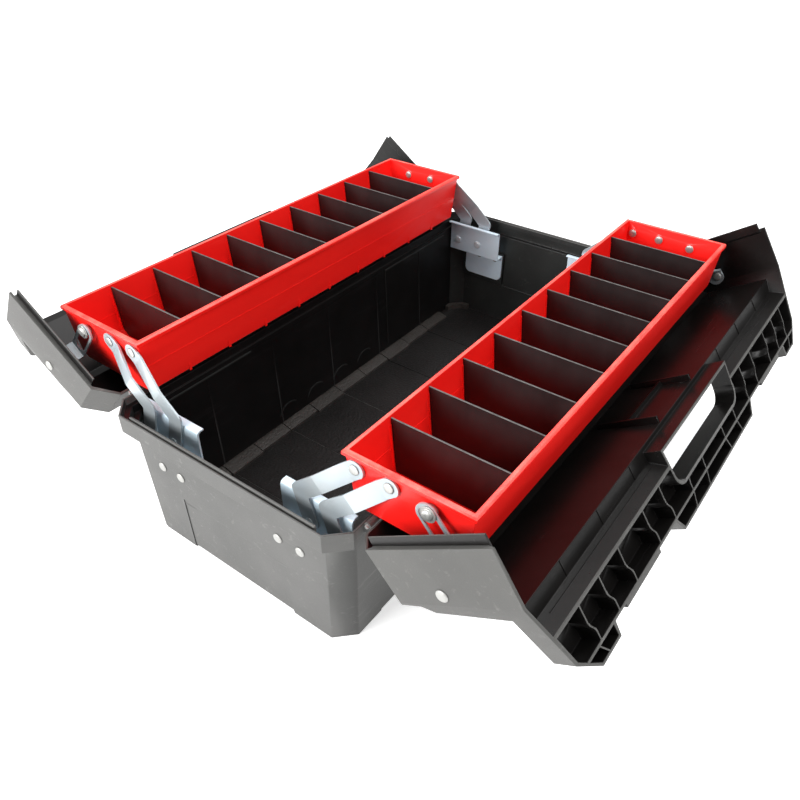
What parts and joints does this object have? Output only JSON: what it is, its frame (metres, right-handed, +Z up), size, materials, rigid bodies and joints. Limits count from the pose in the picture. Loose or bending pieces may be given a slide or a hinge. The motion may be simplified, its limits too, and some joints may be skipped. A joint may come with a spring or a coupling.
{
  "type": "cantilever tool box",
  "caption": "Wide cantilever tool box shown open: dark chamfered bin, two wing lids with a ribbed ridge and hand hole, divided red trays on plated steel arms.",
  "frame": {"origin": "middle of the box's footprint, on the surface it stands on", "axes": "+X across the box towards the right lid, +Y along the box towards its far end, +Z up; lids and trays fully open"},
  "size_m": [0.6034, 0.53, 0.208],
  "materials": {
    "black_plastic": "matte, finely textured",
    "red_plastic": "semi-gloss",
    "divider_plastic": "satin",
    "zinc_steel": "zinc plated"
  },
  "bodies": {
    "bin": {"bin_shell": "black_plastic", "bracket_right_near": "zinc_steel", "bracket_right_far": "zinc_steel", "bracket_left_near": "zinc_steel", "bracket_left_far": "zinc_steel", "hinge_rod_right": "zinc_steel", "hinge_rod_left": "zinc_steel", "wall_rivets": "zinc_steel", "arm_pivot_rivets": "zinc_steel"},
    "lid_right": {"lid_right": "black_plastic", "lid_rivets_right": "zinc_steel"},
    "lid_left": {"lid_left": "black_plastic", "lid_rivets_left": "zinc_steel", "latch_pins": "zinc_steel"},
    "inner_arms_right": {"inner_arm_right_near": "zinc_steel", "inner_arm_right_far": "zinc_steel"},
    "outer_arms_right": {"outer_arm_right_near": "zinc_steel", "outer_arm_right_far": "zinc_steel"},
    "tray_right": {"tray_right": "red_plastic", "dividers_right": "divider_plastic", "tray_rivets_right": "zinc_steel"},
    "straps_right": {"strap_right_near": "zinc_steel", "strap_right_far": "zinc_steel"},
    "inner_arms_left": {"inner_arm_left_near": "zinc_steel", "inner_arm_left_far": "zinc_steel"},
    "outer_arms_left": {"outer_arm_left_near": "zinc_steel", "outer_arm_left_far": "zinc_steel"},
    "tray_left": {"tray_left": "red_plastic", "dividers_left": "divider_plastic", "tray_rivets_left": "zinc_steel"},
    "straps_left": {"strap_left_near": "zinc_steel", "strap_left_far": "zinc_steel"},
    "latch_near": {"latch_near": "black_plastic"},
    "latch_far": {"latch_far": "black_plastic"}
  },
  "joints": [
    {"name": "lid_right_hinge", "type": "hinge", "parent": "bin", "child": "lid_right", "pos_m": [0.129, 0, 0.1336], "axis": [0, 1, 0], "range_deg": [-145.6, 0]},
    {"name": "inner_arms_right_pivot", "type": "hinge", "parent": "bin", "child": "inner_arms_right", "pos_m": [0.076, 0, 0.107], "axis": [0, 1, 0], "range_deg": [-82.67, 0]},
    {"name": "outer_arms_right_pivot", "type": "hinge", "parent": "bin", "child": "outer_arms_right", "pos_m": [0.1048, 0, 0.107], "axis": [0, 1, 0], "range_deg": [-82.67, 0]},
    {"name": "tray_right_pivot", "type": "hinge", "parent": "inner_arms_right", "child": "tray_right", "pos_m": [0.117, 0, 0.177], "axis": [0, 1, 0], "range_deg": [0, 82.67]},
    {"name": "straps_right_pivot", "type": "hinge", "parent": "lid_right", "child": "straps_right", "pos_m": [0.2067, 0, 0.1428], "axis": [0, 1, 0], "range_deg": [-36.4, 0]},
    {"name": "lid_left_hinge", "type": "hinge", "parent": "bin", "child": "lid_left", "pos_m": [-0.129, 0, 0.1336], "axis": [0, -1, 0], "range_deg": [-145.6, 0]},
    {"name": "inner_arms_left_pivot", "type": "hinge", "parent": "bin", "child": "inner_arms_left", "pos_m": [-0.076, 0, 0.107], "axis": [0, -1, 0], "range_deg": [-82.67, 0]},
    {"name": "outer_arms_left_pivot", "type": "hinge", "parent": "bin", "child": "outer_arms_left", "pos_m": [-0.1048, 0, 0.107], "axis": [0, -1, 0], "range_deg": [-82.67, 0]},
    {"name": "tray_left_pivot", "type": "hinge", "parent": "inner_arms_left", "child": "tray_left", "pos_m": [-0.117, 0, 0.177], "axis": [0, -1, 0], "range_deg": [0, 82.67]},
    {"name": "straps_left_pivot", "type": "hinge", "parent": "lid_left", "child": "straps_left", "pos_m": [-0.2067, 0, 0.1428], "axis": [0, -1, 0], "range_deg": [-36.4, 0]},
    {"name": "latch_near_pivot", "type": "hinge", "parent": "lid_left", "child": "latch_near", "pos_m": [-0.28538, -0.152, 0.107], "axis": [0, 1, 0], "range_deg": [-15, 124.4]},
    {"name": "latch_far_pivot", "type": "hinge", "parent": "lid_left", "child": "latch_far", "pos_m": [-0.28538, 0.152, 0.107], "axis": [0, 1, 0], "range_deg": [-15, 124.4]}
  ],
  "couplings": [
    {"joint": "inner_arms_right_pivot", "follows": "lid_right_hinge", "ratio": 0.56781},
    {"joint": "outer_arms_right_pivot", "follows": "lid_right_hinge", "ratio": 0.56781},
    {"joint": "tray_right_pivot", "follows": "lid_right_hinge", "ratio": -0.56781},
    {"joint": "straps_right_pivot", "follows": "lid_right_hinge", "ratio": 0.25},
    {"joint": "inner_arms_left_pivot", "follows": "lid_left_hinge", "ratio": 0.56781},
    {"joint": "outer_arms_left_pivot", "follows": "lid_left_hinge", "ratio": 0.56781},
    {"joint": "tray_left_pivot", "follows": "lid_left_hinge", "ratio": -0.56781},
    {"joint": "straps_left_pivot", "follows": "lid_left_hinge", "ratio": 0.25}
  ]
}
